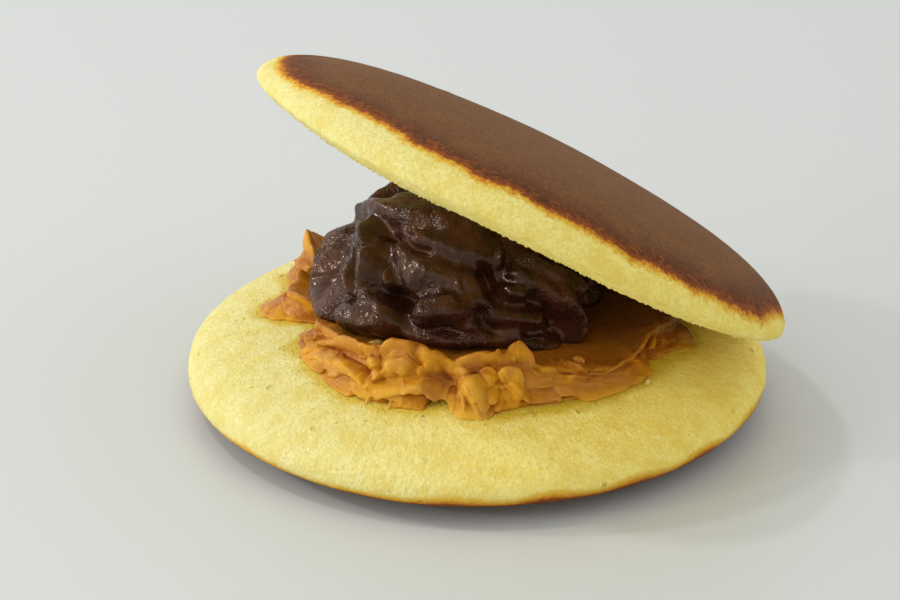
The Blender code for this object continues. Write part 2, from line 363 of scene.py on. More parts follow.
crumbRelief = {
    "Grain size": 1.3 * mm,
    "Grain depth": 0.15 * mm,
    "Lump size": 6.0 * mm,
    "Lump depth": 0.12 * mm,
    "Pore size": 4.2 * mm,
    "Pore depth": 0.35 * mm,
    "Crumb density": 2.3e6,  # crumbs to a square metre where it is most crumbly
    "Crumb radius": 0.2 * mm,
    "Crumbly grain": 3.0,  # how much deeper the grain is there, in times its plain depth
}

crumbShape = {
    "sowing": 5,  # seeds for where the crumbs lie, how they are turned and how far they are stretched
    "turning": 6,
    "stretching": 7,
    "least": (0.5, 0.5, 0.4),
    "most": (1.7, 1.4, 1.2),
}


def crumbTree():
    # moves the surface in and out as sponge crumb, of which the browned skin keeps a fifth, and sows loose
    # crumbs where the attribute "crumbly" asks for them
    tree, given, where = newGeometryTree("crumbRelief", crumbRelief)
    crumbly = painted(tree, "crumbly")
    deeper = plus(tree, 1.0, times(tree, crumbly, given["Crumbly grain"]))
    grain = swing(tree, noise(tree, where, given["Grain size"], 2.0, 0.6), given["Grain depth"])
    lump = swing(tree, noise(tree, where, given["Lump size"], 1.0), given["Lump depth"])
    hole = times(tree, pores(tree, where, given["Pore size"], 0.16, 0.06), given["Pore depth"])
    height = plus(tree, times(tree, grain, deeper), lump)
    height = minus(tree, height, hole)
    bare = ramp(tree, painted(tree, "inside"), -1.5 * mm, 1.0 * mm, 1.0, 0.2)
    moved = pushedOut(tree, given["Geometry"], times(tree, height, bare))

    def anyVector(low, high, seed):
        inputs = {"Min": low, "Max": high, "Seed": seed}
        return addNode(tree, "FunctionNodeRandomValue", inputs, data_type="FLOAT_VECTOR").outputs[0]

    shape = crumbShape
    sown = addNode(tree, "GeometryNodeDistributePointsOnFaces", {
        "Mesh": moved, "Density": times(tree, crumbly, given["Crumb density"]), "Seed": shape["sowing"]})
    ball = addNode(tree, "GeometryNodeMeshIcoSphere", {"Radius": given["Crumb radius"], "Subdivisions": 1})
    crumbs = addNode(tree, "GeometryNodeInstanceOnPoints", {
        "Points": sown.outputs[0], "Instance": ball.outputs[0],
        "Rotation": anyVector((0.0, 0.0, 0.0), (6.28, 6.28, 6.28), shape["turning"]),
        "Scale": anyVector(shape["least"], shape["most"], shape["stretching"])})
    solid = addNode(tree, "GeometryNodeRealizeInstances", {0: crumbs.outputs[0]})
    unbrowned = addNode(tree, "GeometryNodeStoreNamedAttribute", {
        "Geometry": solid.outputs[0], "Name": "inside", "Value": -20 * mm})
    joined = addNode(tree, "GeometryNodeJoinGeometry")
    tree.links.new(moved, joined.inputs[0])
    tree.links.new(unbrowned.outputs[0], joined.inputs[0])
    smooth = addNode(tree, "GeometryNodeSetShadeSmooth", {0: joined.outputs[0]})
    return finishTree(tree, smooth.outputs[0], given["Material"])


spongeLook = {
    # painted light: the sponge is paler on the left, where the light falls, and a deeper yellow on the right,
    # in shade
    "litPaleSide": (linear(232, 224, 153), linear(224, 208, 120)),  # its plain and its cloudier yellow
    "shadeYellowSide": (linear(250, 232, 130), linear(240, 212, 94)),
    "sides": (-42 * mm, 36 * mm),  # where the paler, painted lit side ends and the yellower, painted shade side begins, along X
    # painted glints: the pale specks on the sponge
    "light": linear(252, 243, 190),
    # painted shade in the pores
    "poreShade": linear(205, 168, 60),
    "oiled": linear(214, 184, 48),
    "golden": linear(226, 182, 62),
    "orange": linear(206, 130, 36),
    "russet": linear(134, 70, 30),
    "darkest": linear(92, 50, 27),
    "brown": linear(116, 73, 34),
    "freckle": linear(160, 84, 32),
    "mottle": linear(134, 89, 45),
    "pit": linear(78, 46, 27),
    "roughness": (0.85, 0.7),  # of the sponge and of the crust
    "cloudSize": 4 * mm,
    "coarseSize": 1.1 * mm,
    "grainSize": 0.55 * mm,
    "oilSize": 3.5 * mm,
    "mottleSize": 7 * mm,
    "freckleSize": 1.0 * mm,
    "waverSize": 5 * mm,
    "speckSize": 0.7 * mm,
}

# the depth in mm inside the border of the patch at which each browning begins and is full
browning = {
    "golden": (-1.9, -0.9),
    "orange": (-1.0, -0.2),
    "russet": (-0.3, 0.4),
    "darkest": (0.5, 1.6),
    "brown": (2.6, 8.0),
}

spongeGloss = {
    "Specular IOR Level": 0.25,
    "Specular Tint": linear(255, 217, 166),
    "Sheen Weight": 0.06,
    "Sheen Roughness": 0.4,
    "Sheen Tint": linear(255, 217, 166),
    "Subsurface Weight": 0.12,
    "Subsurface Radius": (1.0, 0.6, 0.2),
    "Subsurface Scale": 1.5 * mm,
}


def cakeMaterial(name, ragged):
    material, tree, shader, where = newMaterial(name, spongeGloss)
    look = spongeLook

    # sponge: painted light, paler on the lit left and yellower on the shaded right; a fine velvety grain with
    # pale specks painted as glints, and a few deep pores with painted shade in them
    along = addNode(tree, "ShaderNodeSeparateXYZ", {0: where}).outputs[0]
    towardsShadeSide = ramp(tree, along, *look["sides"])
    plain = mixColour(tree, towardsShadeSide, look["litPaleSide"][0], look["shadeYellowSide"][0])
    cloudy = mixColour(tree, towardsShadeSide, look["litPaleSide"][1], look["shadeYellowSide"][1])
    cloud = noise(tree, where, look["cloudSize"], 4.0, 0.65)
    coarse = noise(tree, shifted(tree, where, 0, 0.2, 0.9), look["coarseSize"], 3.0, 0.7)
    grain = noise(tree, shifted(tree, where, 0.3, 0, 0), look["grainSize"], 3.0, 0.65)
    hole = pores(tree, where, crumbRelief["Pore size"], 0.14, 0.05)
    sponge = layer(tree, plain, cloudy, cloud, 0.4, 0.66, 0.85)
    sponge = layer(tree, sponge, cloudy, coarse, 0.5, 0.7, 0.75)
    sponge = layer(tree, sponge, cloudy, grain, 0.5, 0.7, 0.9)
    # painted glints: pale specks where the fine grain is low
    sponge = layer(tree, sponge, look["light"], grain, 0.42, 0.28, 0.8)
    # painted shade in the sunk pores
    sponge = mixColour(tree, times(tree, hole, 0.6), sponge, look["poreShade"])
    patchy = noise(tree, shifted(tree, where, 0, 0.7, 0), look["oilSize"], 4.0, 0.65)
    patchy = times(tree, minus(tree, patchy, 0.5), 1.1)
    oily = ramp(tree, plus(tree, painted(tree, "oil"), patchy), 0.2, 0.95)
    sponge = mixColour(tree, times(tree, oily, 0.85), sponge, look["oiled"])

    # browning: its depth strays by two noises, then runs through the colours of toasting
    depth = painted(tree, "inside")
    for size, stray in zip((look["waverSize"], look["speckSize"]), ragged):
        aside = minus(tree, noise(tree, where, size, 3.0, 0.6 if size > mm else 0.65), 0.5)
        depth = plus(tree, depth, times(tree, aside, stray))
    crust = sponge
    for colour, (begin, full) in browning.items():
        crust = layer(tree, crust, look[colour], depth, begin * mm, full * mm)
    freckle = noise(tree, shifted(tree, where, 0, 0, 0.4), look["freckleSize"], 4.0, 0.7)
    rim = times(tree, ramp(tree, depth, 0.4 * mm, 1.0 * mm), ramp(tree, depth, 4.5 * mm, 2.0 * mm))
    rusty = times(tree, rim, ramp(tree, freckle, 0.48, 0.6))
    crust = mixColour(tree, times(tree, rusty, 0.7), crust, look["freckle"])
    skin = ramp(tree, depth, 1.0 * mm, 5.0 * mm)
    mottle = noise(tree, shifted(tree, where, 0.2, 0.1, 0), look["mottleSize"], 5.0, 0.7)
    mottled = times(tree, skin, ramp(tree, mottle, 0.42, 0.72, 0.0, 0.5))
    crust = mixColour(tree, mottled, crust, look["mottle"])
    pitted = times(tree, skin, ramp(tree, grain, 0.5, 0.64, 0.0, 0.8))
    crust = mixColour(tree, pitted, crust, look["pit"])
    tree.links.new(crust, shader.inputs["Base Color"])

    dry = ramp(tree, skin, 0.0, 1.0, *look["roughness"])
    gloss = minus(tree, dry, times(tree, oily, 0.3))
    tree.links.new(gloss, shader.inputs["Roughness"])
    addBump(tree, shader, [(coarse, 0.34 * mm), (grain, 0.2 * mm), (hole, -0.3 * mm)])
    return material


def makeCake(name, cake, marksFor):
    # marksFor gives the attributes "oil" and "crumbly" at the points
    points, inside = cakeSurface(cake)
    points = placed(cake, points)
    thing = meshObject(name, points, cakeFaces(cake))
    thing.data.flip_normals()
    for label, values in {"inside": inside, **marksFor(points, inside)}.items():
        setAttribute(thing, label, values)
    runTree(thing, crumbTree(), {**crumbRelief, "Material": cakeMaterial(name + "Skin", cake["ragged"])})
    return thing


# strokes, shared by the two pastes: each is a line over the surface, raised or sunk, with its own width on
# either side

def smoothLine(points, steps=4):
    # a rounded line through the points
    held = np.vstack([points[0], points, points[-1]])
    line = []
    for k in range(len(points) - 1):
        a, b, c, d = held[k:k + 4]
        for t in np.arange(steps) / steps:
            line.append(0.5 * (2 * b + (c - a) * t + (2 * a - 5 * b + 4 * c - d) * t ** 2
                               + (3 * b - a - 3 * c + d) * t ** 3))
    return np.array([*line, points[-1]])


def strokeShare(points, outward, line, left, right):
    # 1 along the stroke's line, falling to 0 at its edges
    nearest = np.full(len(points), np.inf)
    side = np.zeros(len(points))
    for a, b in zip(line, line[1:]):
        run = b - a
        share = np.clip((points - a) @ run / (run @ run), 0, 1)
        offset = points - a - share[:, None] * run
        distance = np.linalg.norm(offset, axis=1)
        across = np.cross(outward, run)
        leftness = (across * offset).sum(1) / (np.linalg.norm(across, axis=1) * distance + 1e-12)
        closer = distance < nearest
        nearest[closer] = distance[closer]
        side[closer] = leftness[closer]
    width = right + (left - right) * np.clip(0.5 + 0.5 * side, 0, 1)
    return np.clip(1 - (nearest / width) ** 2, 0, 1)


def sculpted(points, outward, raised, added, blend, softness=1.0):
    # how far the strokes lift each point: the raised ones meet in creases, the added ones lie over them, and
    # a softness above 1 lets their edges run out into what lies round them
    def nearTo(line, width):
        middle = line.mean(0)
        reach = np.linalg.norm(line - middle, axis=1).max() + width
        return np.nonzero(np.linalg.norm(points - middle, axis=1) < reach)[0]

    total = np.ones(len(points))
    for height, left, right, line in raised:
        near = nearTo(line, max(left, right))
        share = strokeShare(points[near], outward[near], line, left, right)
        total[near] += np.exp(height * share ** softness / blend) - 1
    lift = blend * np.log(total)
    for height, left, right, line in added:
        near = nearTo(line, max(left, right))
        lift[near] += height * strokeShare(points[near], outward[near], line, left, right) ** 2
    return lift


def strokesFrom(table, placeOf, sink):
    # the rows of a table in metres, each with its smooth line, whose ends sink into the paste
    found = []
    for height, left, right, *places in table:
        line = smoothLine(np.array([placeOf(*place) for place in places]))
        ends = np.linspace(-1, 1, len(line))[:, None] ** 4
        found.append((height * mm, left * mm, right * mm, sink(line, ends)))
    return found


def rough(points, size, depth, seed, octaves=3, fading=0.55):
    # swells of ever smaller size laid over each other
    total = np.zeros(len(points))
    for k in range(octaves):
        total += swell(points, (depth * fading ** k, size / 2 ** k), seed + 100 * k)
    return total


def warped(points, size, depth, seed, octaves=2):
    # the points, each moved a little, so that what is looked up there comes out irregular
    return points + np.stack([rough(points, size, depth, seed + k, octaves) for k in range(3)], 1)


# the peanut butter

spread = {
    "radius": 33.5 * mm,
    "floor": 1.4 * mm,
    "rimHeight": 4.0 * mm,
    "rimLean": 4.2 * mm,
    "dishPower": 4,
    "edge": 0.5 * mm,
    "rimWander": (0.9 * mm, 30 * mm),
    "rimRise": (0.8 * mm, 22 * mm),
    "rimLeanShare": (0.3, 28 * mm),
    "seed": 7,
    "segments": 1400,
    "innerRings": 3,  # out to here the scoop hides the floor
    "innerShare": 0.6,
    "floorRings": 13,
    "wallRings": 48,
    "spineIn": 0.5 * mm,  # from the crest to the spine that the lumps grow from
    "spineHeight": 0.4,  # of the crest's
    "creaseDepth": 0.75 * mm,
    "blend": 0.08 * mm,
    "lip": 0.45 * mm,  # how far the thin edge along the crest stands up
    "sunk": 0.3 * mm,  # into the cake below
    "under": 0.3 * mm,  # clear of the cake above
    "darkSide": (0, 42),  # the angle, and half width, of the floor that lies deep in shade and oil
    "closing": 8 * mm,  # the gap below the upper cake within which the butter is painted dark, as shade and oil
    "waver": (3 * mm, 0.1 * mm),  # how the strokes' edges stray: size and depth, as for the two below
    "lumpiness": (5 * mm, 0.08 * mm),
    "lipWaver": (2.6 * mm, 0.16 * mm),
    "lipWidth": 0.5 * mm,
    "cutFrom": -0.22,  # the share down the wall from which the strokes shape it
    "leastReach": 0.15 * mm,  # of any stroke from the spine
    "overCake": 0.05 * mm,  # how far the paste at least stands over the lower cake
    "sunkRings": (0.985, 0.7, 0.35),  # the foot's rings below, as shares of its radius
    "sunkEnds": 0.5 * mm,  # how far a stroke begins and ends below where it runs
    # angle, half width, share down the wall and half height
    "dryPatches": ((-53, 17, 0.5, 0.4), (-101, 5, 0.5, 0.3)),
}

# where the knife left the rim higher, wider, more sloping or torn away: angle and half width in degrees,
# then in millimetres how much higher, further out and more leaning
rimMarks = {
    "rightFlap": (-12, 7, 0.9, 2.6, -1.4),
    "rightDip": (-42, 20, -2.6, 0.0, -1.6),
    "frontPeak": (-76, 4, 2.4, -0.6, 0.0),
    "frontBank": (-87, 11, 2.8, 0.4, 1.2),
    "frontTear": (-100, 4, -2.0, -2.0, 0.0),
    "leftBank": (-114, 17, 3.0, 0.0, 1.2),
    "leftFrontCrest": (-151, 13, -0.8, -2.2, 0.0),
    "leftNotch": (190, 6, -3.6, -7.0, 0.0),
    "leftTongue": (172, 7, -1.0, 3.4, 0.0),
    "leftSpike": (150, 6.5, 4.4, 4.6, 0.0),
}

# what the knife left on the wall: how far it stands out and its width left and right of its line, all in mm,
# then the line as places of angle in degrees and share down the wall (0 is the crest, 1 the foot)
slabs = {
    "rimSpike": (1.4, 0.7, 0.7, (-155.5, 0.35), (-166.5, 0.8), (-171.5, 1.05)),
    "notchHorn": (1.3, 0.8, 0.8, (-175, 1.15), (-162, 0.7), (-156, 0.6)),
    "swath": (0.9, 0.35, 1.6, (-152.5, 0.4), (-144.5, 0.1), (-136.5, 0.0), (-129.5, 0.05), (-124, 0.05)),
    "longFlake": (1.8, 0.4, 3.6, (-153.5, 0.6), (-148.5, 0.75), (-143, 0.65), (-133.5, 0.45),
        (-128.5, 0.55), (-123.5, 0.65), (-118, 0.7)),
    "flakeFace": (1.6, 2.2, 2.2, (-137, 0.7), (-130.5, 0.85), (-127.5, 0.9)),
    "lowBits": (1.3, 0.7, 0.7, (-148, 1.1), (-144, 0.9), (-139.5, 0.8)),
    "flakeTeeth": (2.0, 1.8, 0.45, (-127, 0.7), (-125, 0.85), (-121.5, 0.9), (-117.5, 0.85),
        (-114, 0.85), (-111.5, 0.85)),
    "toothA": (2.1, 0.6, 0.6, (-121, 0.85), (-120.5, 0.95)),
    "toothB": (2.1, 0.6, 0.6, (-114.5, 0.8), (-114, 0.95)),
    "leftLobe": (1.9, 1.5, 1.5, (-124, 0.25), (-120.5, 0.5)),
    "lobeRim": (1.2, 0.5, 1.4, (-122, 0.05), (-119, 0.0), (-114.5, 0.0), (-111, -0.05)),
    "roundLump": (1.9, 2.6, 2.6, (-117, 0.3), (-113, 0.25)),
    "ledge": (2.4, 2.2, 0.6, (-118, 0.8), (-111.5, 0.7), (-106, 0.65), (-103, 0.75), (-101, 0.9)),
    "ledgeRoot": (1.5, 1.4, 1.2, (-113, 0.9), (-108.5, 0.9), (-105, 0.9)),
    "grainEdge": (1.2, 0.7, 1.4, (-111, -0.05), (-105.5, 0.05), (-102.5, 0.0), (-99, 0.05)),
    "grainBand": (1.3, 1.2, 1.2, (-107.5, 0.3), (-105.5, 0.2), (-103.5, 0.1)),
    "rimKnob": (1.2, 1.2, 1.1, (-99.5, 0.1), (-95, 0.25), (-92.5, 0.35)),
    "drip": (2.7, 2.6, 2.1, (-92, 0.5), (-90.5, 0.7), (-89, 0.85)),
    "dripCorner": (2.2, 1.3, 1.5, (-87, 0.7), (-84.5, 0.8)),
    "dripFoot": (2.3, 1.6, 1.0, (-96, 1.05), (-92, 1.0), (-88.5, 1.0)),
    "dripToe": (2.1, 0.8, 0.7, (-98.5, 1.1), (-97, 1.1)),
    "dripHorn": (2.0, 0.7, 0.6, (-100, 0.8), (-98.5, 0.9), (-96.5, 0.95)),
    "dripEdge": (2.3, 0.6, 0.7, (-95, 0.55), (-94, 0.7), (-93.5, 0.85)),
    "dripSide": (0.8, 1.6, 1.5, (-87, 0.25), (-86, 0.5)),
    "rim": (0.9, 0.35, 0.5, (-99.5, 0.05), (-95, 0.05), (-89.5, 0.05), (-86, 0.05), (-83.5, 0.0),
        (-79.5, -0.1), (-76.5, 0.0)),
    "peak": (1.0, 0.9, 0.9, (-80, -0.1), (-78, 0.0), (-76.5, 0.0)),
    "peakSide": (1.2, 0.7, 0.9, (-76.5, 0.0), (-75.5, 0.0), (-72.5, 0.0)),
    "rightRim": (1.1, 0.3, 0.45, (-78, 0.1), (-72, -0.1), (-67.5, -0.1), (-61.5, -0.05), (-56.5, 0.05),
        (-50.5, 0.2), (-45.5, 0.1), (-39, 0.0), (-31, 0.55)),
    "rightLobe": (1.5, 0.35, 3.4, (-81, 0.2), (-77.5, 0.35), (-76.5, 0.55), (-78, 0.75)),
    "tongue": (1.7, 1.1, 0.5, (-78, 0.75), (-75, 0.9), (-70, 0.85), (-67, 0.75)),
    "rightFace": (0.9, 2.2, 2.0, (-74.5, 0.5), (-63, 0.35), (-52.5, 0.65), (-36.5, 0.7)),
    "rightFoot": (1.7, 1.8, 0.4, (-65.5, 0.6), (-60, 0.85), (-54.5, 1.1), (-50, 1.0), (-44, 1.05),
        (-35.5, 1.15)),
    "flapRim": (0.8, 0.4, 0.6, (-26, 0.35), (-20.5, 0.1), (-14.5, -0.05), (-13.5, 0.0), (-1, 1.15),
        (-7.5, 1.15)),
    "flapEnd": (1.7, 1.8, 1.8, (-12, 0.55), (-12.5, 1.05)),
    "spikeBumpA": (1.6, 1.0, 1.0, (-208, 0.05), (-207, 0.05)),
    "spikeBumpB": (1.7, 0.9, 0.9, (-193.5, 0.05), (-194, 0.05)),
    "spikeBumpC": (1.6, 1.3, 1.3, (-208.5, 0.05), (-206, 0.05)),
    "spikeBumpD": (1.5, 1.2, 1.2, (-205, 0.05), (-196, 0.05)),
    "tongueTip": (1.4, 1.3, 1.3, (-189.5, 0.9), (-182, 1.05), (-179, 1.15)),
}

# what lies over those or is cut into them
cuts = {
    "swathHollow": (-0.5, 0.8, 0.7, (-148, 0.5), (-139.5, 0.2), (-132, 0.1)),
    "slot": (-0.9, 0.5, 0.35, (-139.5, 0.35), (-134, 0.35), (-128, 0.45), (-123.5, 0.6)),
    "darkSpot": (-1.0, 0.45, 0.45, (-138, 0.3), (-136.5, 0.3)),
    "slotEnd": (-1.2, 0.5, 0.4, (-126.5, 0.5), (-123, 0.65)),
    "flakeLine": (0.3, 0.3, 0.4, (-147, 0.6), (-137.5, 0.4), (-130.5, 0.45)),
    "lowPit": (-1.0, 0.6, 0.6, (-140, 0.95), (-137, 0.85)),
    "underTeeth": (-0.9, 0.5, 0.5, (-127, 1.0), (-122, 1.05), (-118, 1.05), (-114, 1.05)),
    "lobeHook": (-0.8, 0.35, 0.35, (-125.5, 0.15), (-122.5, 0.2), (-122, 0.1)),
    "lumpCrease": (-0.6, 0.4, 0.3, (-120.5, 0.2), (-116.5, 0.2), (-112, 0.15)),
    "underLump": (-0.7, 0.5, 0.5, (-121, 0.6), (-116.5, 0.65), (-112, 0.55)),
    "aboveLedge": (-0.9, 0.6, 0.5, (-111, 0.5), (-106, 0.5), (-103, 0.55), (-100, 0.7)),
    "gap": (-3.0, 0.9, 0.9, (-104, 0.95), (-101, 0.95), (-99, 1.05)),
    "skinFace": (-0.6, 1.3, 1.3, (-105, 0.45), (-101, 0.4), (-98, 0.55)),
    "hole": (-2.0, 0.55, 0.6, (-98.5, 0.75), (-96, 0.7)),
    "rimCrease": (-0.6, 0.4, 0.4, (-92.5, 0.15), (-87, 0.15), (-83.5, 0.05)),
    "underRim": (-0.5, 0.35, 0.35, (-77.5, 0.2), (-68.5, -0.05), (-63.5, 0.05), (-57.5, 0.2)),
    "lobeUnder": (-0.8, 0.9, 1.2, (-82, 0.65), (-80, 0.8)),
    "dripCrease": (-1.0, 0.5, 0.6, (-83.5, 0.65), (-84, 0.8), (-87, 0.9)),
    "faceLineA": (0.25, 0.4, 0.3, (-70, 0.55), (-60.5, 0.5), (-50.5, 0.6)),
    "faceLineB": (0.2, 0.3, 0.3, (-72.5, 0.25), (-62.5, 0.2), (-51.5, 0.45)),
    "endStep": (-1.2, 0.9, 1.0, (-26, 0.65), (-31.5, 1.15)),
    "flapHoleA": (-1.4, 0.6, 0.6, (-29.5, 0.75), (-28.5, 1.15)),
    "flapHoleB": (-1.2, 0.45, 0.45, (-22.5, 1.0), (-22.5, 1.15)),
    "flapHoleC": (-0.6, 0.5, 0.5, (-23, 0.55), (-20.5, 0.5)),
    "tongueRim": (0.5, 0.35, 0.35, (-188.5, 0.5), (-181.5, 0.8), (-179, 1.15)),
}

# marks by a seeded rule: where they begin round the rim and how far round they go, in degrees, how far down
# the wall they start, how they drift down it and at which shares of that drift they bend and end
knifeMarks = {
    "seed": 67,
    "count": 46,
    "range": (5, 140),
    "lowest": 0.95,
    "drift": (-0.3, 0.3),
    "bend": (1, 0),
    "height": lambda draw: draw.uniform(0.5, 1.3),
    "width": (0.4, 1.3),
}

scratches = {
    "seed": 68,
    "count": 150,
    "range": (-168, 340),
    "lowest": 0.9,
    "drift": (-0.35, 0.4),
    "bend": (0.6, 1),
    "height": lambda draw: draw.choice((-0.5, -0.35, 0.25, 0.35, 0.5)),
    "width": (0.25, 0.8),
}


def rimAt(angles):
    # foot radius, crest radius and crest height round the dish
    compass = np.stack([np.cos(angles), np.sin(angles), np.zeros_like(angles)], 1) * spread["radius"]
    further = swell(compass, spread["rimWander"], spread["seed"] + 20)
    higher = swell(compass, spread["rimRise"], spread["seed"] + 21)
    lean = spread["rimLean"] * (1 + swell(compass, spread["rimLeanShare"], spread["seed"] + 22))
    for place, halfWidth, up, out, leaning in rimMarks.values():
        strength = np.exp(-((aroundFrom(angles, place) / halfWidth) ** 2)) * mm
        further += strength * out
        higher += strength * up
        lean += strength * leaning
    foot = spread["radius"] + further
    return foot, foot - lean, np.maximum(spread["rimHeight"] + higher, spread["edge"])


def wallPlace(angle, down, ground):
    # a spot on the plain wall; below 0 the share runs over the crest and down to the floor of the dish
    angle = math.radians(angle)
    foot, crest, high = (float(value[0]) for value in rimAt(np.array([angle])))
    if down < 0:
        radius = crest * (1 + down)
        height = spread["floor"] + (high - spread["floor"]) * (1 + down) ** spread["dishPower"]
    else:
        radius = crest + (foot - crest) * down ** 0.8
        height = high + (spread["edge"] - high) * down
    x, y = radius * math.cos(angle), radius * math.sin(angle)
    return Vector((x, y, topOf(ground, x, y) + height))


def wallStrokes(table, ground):
    sunk = np.array([0, 0, spread["sunkEnds"]])
    return strokesFrom(table, lambda angle, down: wallPlace(angle, down, ground),
                       lambda line, ends: line - sunk * ends)


def wallMarks(rule):
    # rows like those of the tables, drawn by a rule
    draw = random.Random(rule["seed"])
    begin, length = rule["range"]
    for k in range(rule["count"]):
        angle = begin + length * (k + draw.random()) / rule["count"]
        down = draw.uniform(0.05, rule["lowest"])
        run, drift = draw.uniform(2, 8), draw.uniform(*rule["drift"])
        height = rule["height"](draw)
        middle, end = (share * drift for share in rule["bend"])
        yield (height, draw.uniform(*rule["width"]), draw.uniform(*rule["width"]),
               (angle, down), (angle + run / 2, down + middle), (angle + run, down + end))


def spreadShape():
    # rings of angle, radius, height over the cake and share down the wall, from the middle of the dish
    # over the crest to the foot
    angles = math.tau * np.arange(spread["segments"]) / spread["segments"]
    foot, crest, high = rimAt(angles)
    share = spread["innerShare"]
    inner = share * np.arange(1, spread["innerRings"]) / spread["innerRings"]
    outer = share + (1 - share) * (1 - (1 - np.linspace(0, 1, spread["floorRings"])) ** 1.7)
    rings = []
    for s in np.concatenate([inner, outer]):
        height = spread["floor"] + (high - spread["floor"]) * s ** spread["dishPower"]
        rings.append((crest * s, height, np.full_like(angles, s - 1)))
    for s in np.linspace(0, 1, spread["wallRings"] + 1)[1:] ** 1.1:
        radius = crest + (foot - crest) * s ** 0.8
        rings.append((radius, high + (spread["edge"] - high) * s, np.full_like(angles, s)))
    return angles, rings, foot, crest, high


def cutWall(spots, starts, down, wallLength, ground):
    # moves the wall's spots in or out along the ways from the spine, as the strokes and the lip ask
    seed = spread["seed"]
    reach = np.linalg.norm(spots - starts, axis=1)
    ways = (spots - starts) / reach[:, None]
    onWall = np.clip(down / 0.12, 0, 1) * np.clip((1 - down) / 0.08, 0, 1)
    raised = wallStrokes([*slabs.values(), *wallMarks(knifeMarks)], ground)
    laid = wallStrokes([*cuts.values(), *wallMarks(scratches)], ground)
    lift = sculpted(warped(spots, *spread["waver"], seed + 84), ways, raised, laid, spread["blend"])
    best = reach - spread["creaseDepth"] * onWall + lift
    best += rough(spots, *spread["lumpiness"], seed + 74, 2) * onWall
    lip = np.exp(-(down * wallLength / spread["lipWidth"]) ** 2)
    best += lip * (spread["lip"] + rough(spots, *spread["lipWaver"], seed + 68))
    best = np.maximum(best, spread["leastReach"])
    return starts + ways * best[:, None], (best - reach) * (down > 0)


def makeSpread(ground, ceiling):
    angles, rings, foot, crest, high = spreadShape()
    count = len(angles)

    def tops(x, y):
        return np.array([topOf(ground, a, b) for a, b in zip(x, y)])

    def stood(radius, height):
        x, y = radius * np.cos(angles), radius * np.sin(angles)
        return np.stack([x, y, tops(x, y) + height], 1)

    spine = stood(crest - spread["spineIn"], high * spread["spineHeight"])
    base = np.concatenate([stood(radius, height) for radius, height, share in rings])
    downs = np.concatenate([share for radius, height, share in rings])
    around = np.tile(angles, len(rings))
    starts = np.tile(spine, (len(rings), 1))
    wallLength = np.tile(np.hypot(foot - crest, high - spread["edge"]), len(rings))
    cut = np.nonzero(downs > spread["cutFrom"])[0]  # the wall, and the floor nearest to it
    relief = np.zeros(len(base))
    base[cut], relief[cut] = cutWall(base[cut], starts[cut], downs[cut], wallLength[cut], ground)

    # it stays below the upper cake and above the lower one
    lids = [undersideOf(ceiling, x, y) for x, y, z in base]
    lids = np.array([beyond if lid is None else lid for lid in lids])
    base[:, 2] = np.minimum(base[:, 2], lids - spread["under"])
    # painted shade, with oil: how near the upper cake lies above, which darkens the colour
    closed = np.exp(-((lids - base[:, 2]) / spread["closing"]) ** 4)
    feet = base[-count:, :2].copy()
    base[:, 2] = np.maximum(base[:, 2], tops(base[:, 0], base[:, 1]) + spread["overCake"])

    # and closes below with rings sunk into the lower cake
    middle = topOf(ground, 0, 0)
    parts = [[(0, 0, middle + spread["floor"])], base]
    for share in spread["sunkRings"]:
        ring = feet * share
        parts.append(np.column_stack([ring, tops(*ring.T) - spread["sunk"]]))
    points = np.concatenate([*parts, [(0, 0, middle - spread["sunk"])]])
    sunkCount = len(spread["sunkRings"])
    thing = meshObject("peanutButter", points, gridFaces(len(rings) + sunkCount, count))
    thing.data.flip_normals()

    # painted shade, with oil: the floor on the dark side is darkened too
    place, halfWidth = spread["darkSide"]
    closed = np.maximum(closed, 0.75 * (downs < 0) * np.exp(-(aroundFrom(around, place) / halfWidth) ** 4))
    dry = np.zeros(len(base))
    for place, halfWidth, share, halfShare in spread["dryPatches"]:
        away = aroundFrom(around, place) / halfWidth
        dry = np.maximum(dry, np.exp(-away ** 4 - ((downs - share) / halfShare) ** 4))
    below = sunkCount * count + 1  # points down there, which all hold one value
    wall = np.clip(downs, 0, 1)
    painting = (("wall", wall, 1), ("relief", relief, 0), ("closed", closed, 0), ("dry", dry, 0))
    for label, values, last in painting:
        setAttribute(thing, label, np.concatenate([[0], values, np.full(below, last)]))
    return thing


spreadRelief = {
    "Tear size": 1.2 * mm,
    "Tear depth": 0.05 * mm,
    "Swirl size": 9.0 * mm,
    "Swirl depth": 0.12 * mm,
}


def spreadTree():
    # small tears on the wall, and soft swirls of the knife
    tree, given, where = newGeometryTree("spreadRelief", spreadRelief)
    wall = painted(tree, "wall")
    onWall = times(tree, ramp(tree, wall, 0.0, 0.1), ramp(tree, wall, 1.0, 0.9))
    torn = swing(tree, noise(tree, where, given["Tear size"], 3.0, 0.55), given["Tear depth"])
    soft = swing(tree, noise(tree, where, given["Swirl size"], 1.0, 0.5, 1.5), given["Swirl depth"])
    height = plus(tree, times(tree, torn, onWall), soft)
    return finishTree(tree, pushedOut(tree, given["Geometry"], height), given["Material"])


spreadLook = {
    "butter": linear(210, 148, 36),
    # pale serves for streaks and also as painted light on the raised parts
    "pale": linear(230, 180, 66),
    "deep": linear(176, 108, 20),
    # painted shade: the colour of the butter in its hollows
    "hollow": linear(156, 80, 14),
    "skin": linear(184, 124, 62),
    "shaded": linear(66, 32, 12),
    "gold": linear(222, 156, 34),
    # painted shade on the floor of the dish
    "floor": linear(164, 98, 25),
    "roughness": (0.22, 0.42),
    "cloudSize": 7 * mm,
    "streakSize": 2.2 * mm,
    "flakeSize": 1.5 * mm,
    "patchSize": 4.5 * mm,
    "speckSize": 0.7 * mm,
    "fineSize": 0.5 * mm,
}

spreadGloss = {
    "Specular IOR Level": 0.4,
    "Specular Tint": linear(255, 205, 128),
    "Subsurface Weight": 0.2,
    "Subsurface Radius": (1.0, 0.45, 0.1),
    "Subsurface Scale": 1.5 * mm,
}


